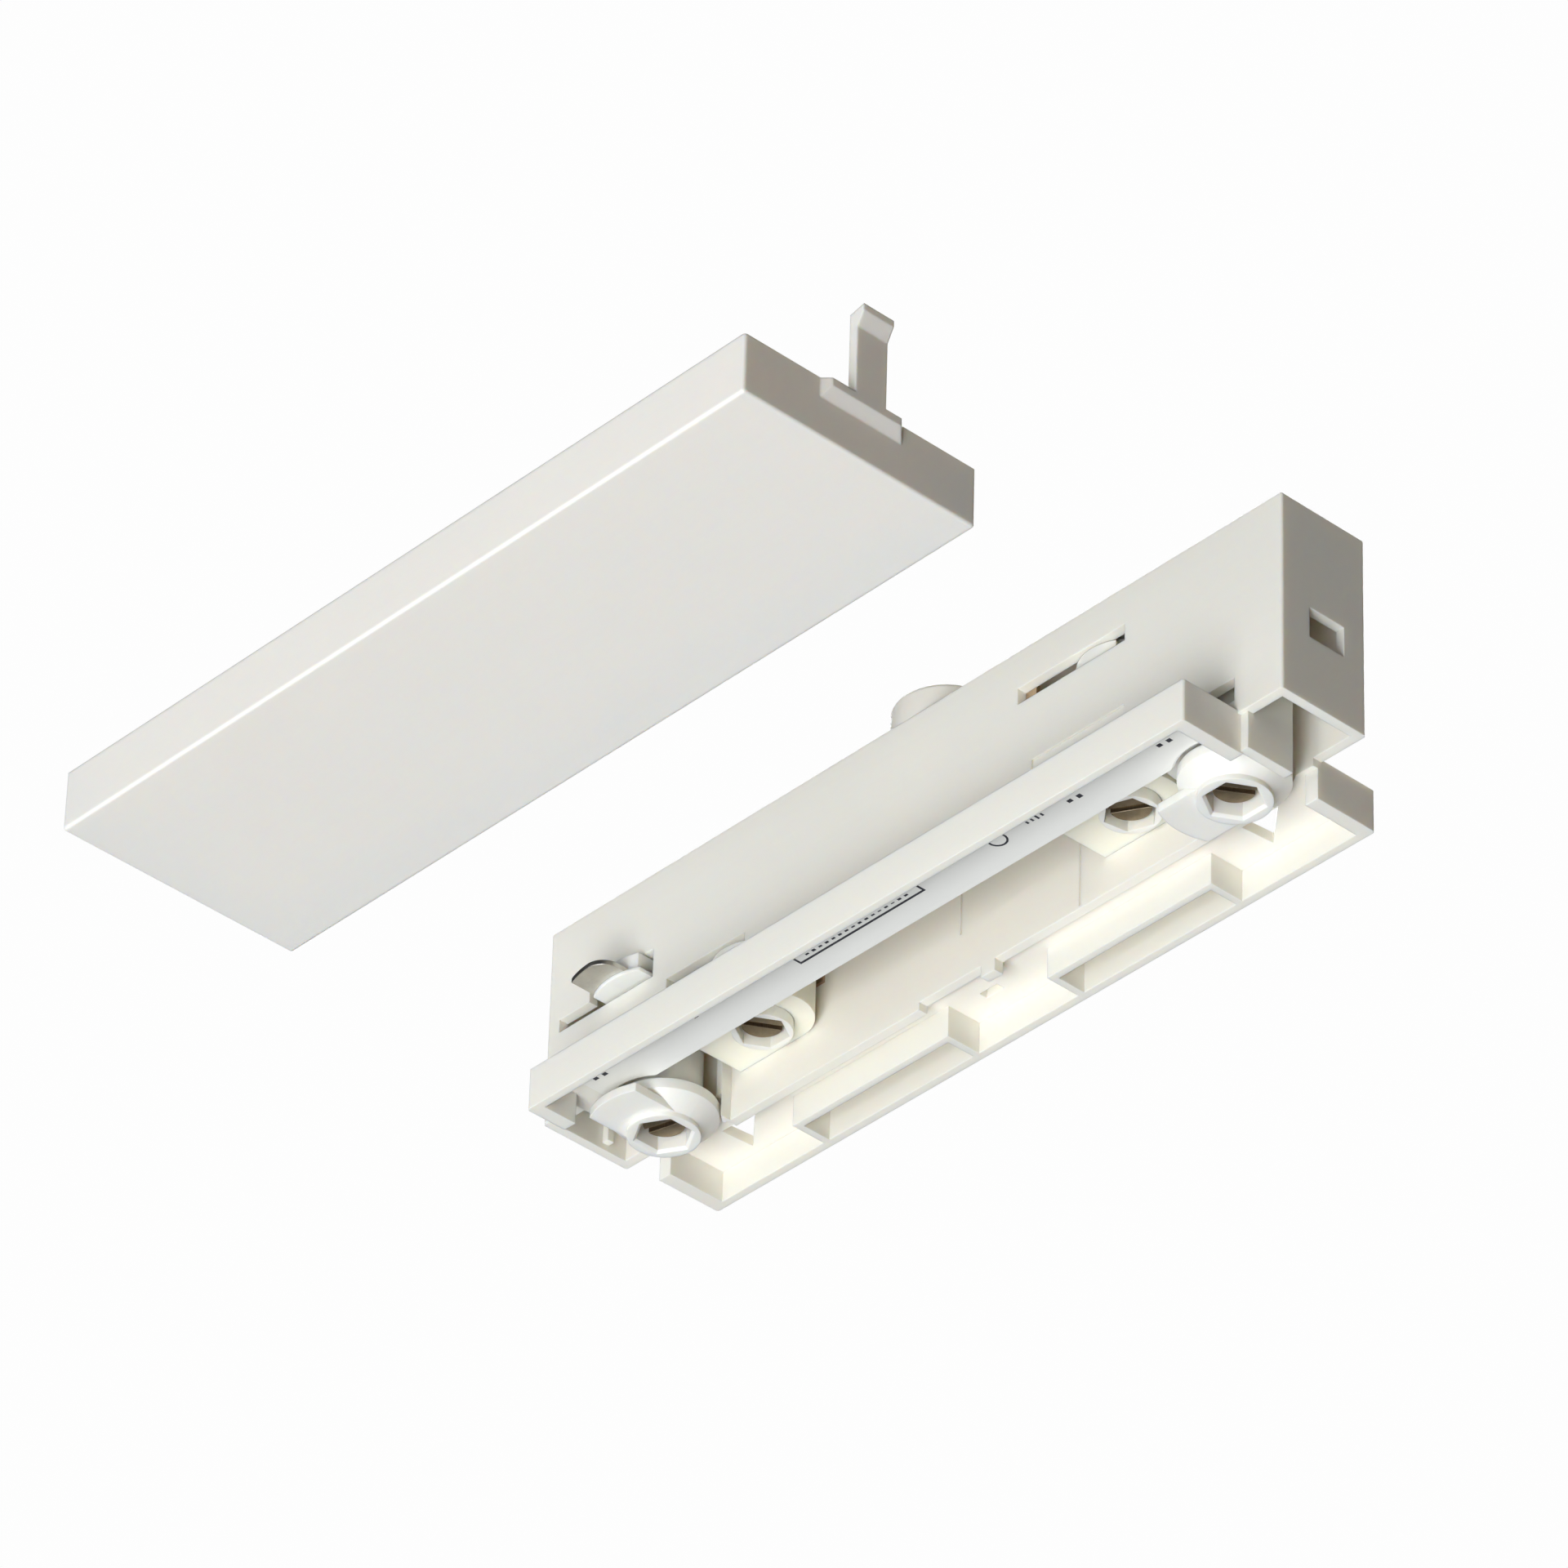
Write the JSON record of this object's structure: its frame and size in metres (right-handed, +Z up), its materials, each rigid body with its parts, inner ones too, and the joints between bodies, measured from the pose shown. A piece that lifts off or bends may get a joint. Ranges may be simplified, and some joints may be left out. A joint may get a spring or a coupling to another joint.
{
  "type": "lighting track center feed",
  "caption": "Long slim feed insert for a lighting track with a shallow tray, turning lock and contact barrels, a cable boss on top, and its clip-on cover lying beside it.",
  "frame": {"origin": "middle of the spine, level with the tray's top face, which seats against the track's rim", "axes": "+X along the feed towards the right lock, +Y towards the far side, +Z up into the track"},
  "size_m": [0.1284, 0.1038, 0.0382],
  "materials": {
    "housing_plastic": "satin moulded plastic, warm white",
    "cover_plastic": "fine grained moulded plastic, warm white",
    "barrel_plastic": "satin moulded plastic, warm white",
    "rotor_plastic": "satin moulded plastic, cream white",
    "block_plastic": "satin moulded plastic, cream",
    "terminal_plastic": "matt moulded plastic, cream",
    "label_film": "matt printed film, light grey",
    "contact_metal": "rolled brass, slightly dulled",
    "busbar_metal": "rolled copper alloy, dulled",
    "earth_metal": "plated strip, fine rolling lines",
    "screw_metal": "plated steel, turned",
    "spring_steel": "spring steel leaf"
  },
  "bodies": {
    "housing_body": {"housing": "housing_plastic", "cover": "cover_plastic", "bearing_block_left": "block_plastic", "bearing_block_right": "block_plastic", "lock_screws": "screw_metal", "rotor_screws": "screw_metal", "busbar_1": "busbar_metal", "busbar_2": "busbar_metal", "busbar_3": "busbar_metal", "busbar_4": "busbar_metal", "earth_bar": "busbar_metal", "terminal_block_left": "terminal_plastic", "terminal_block_right": "terminal_plastic", "label_strip": "label_film", "clamp_spring_1": "spring_steel", "clamp_spring_2": "spring_steel", "clamp_spring_3": "spring_steel", "clamp_spring_4": "spring_steel", "clamp_spring_5": "spring_steel"},
    "lock_left": {"lock_barrel_left": "barrel_plastic", "earth_blade": "earth_metal"},
    "lock_right": {"lock_barrel_right": "barrel_plastic"},
    "rotor_left": {"contact_rotor_left": "rotor_plastic", "contact_blade_1": "contact_metal", "contact_blade_2": "contact_metal"},
    "rotor_right": {"contact_rotor_right": "rotor_plastic", "contact_blade_3": "contact_metal", "contact_blade_4": "contact_metal"}
  },
  "joints": [
    {"name": "lock_left_turn", "type": "hinge", "parent": "housing_body", "child": "lock_left", "pos_m": [-0.0495, 0, 0], "axis": [0, 0, 1], "range_deg": [-90, 0]},
    {"name": "lock_right_turn", "type": "hinge", "parent": "housing_body", "child": "lock_right", "pos_m": [0.0495, 0, 0], "axis": [0, 0, 1], "range_deg": [0, 90]},
    {"name": "rotor_left_turn", "type": "hinge", "parent": "housing_body", "child": "rotor_left", "pos_m": [-0.032, 0, 0], "axis": [0, 0, 1], "range_deg": [0, 90]},
    {"name": "rotor_right_turn", "type": "hinge", "parent": "housing_body", "child": "rotor_right", "pos_m": [0.032, 0, 0], "axis": [0, 0, 1], "range_deg": [0, 90]}
  ]
}
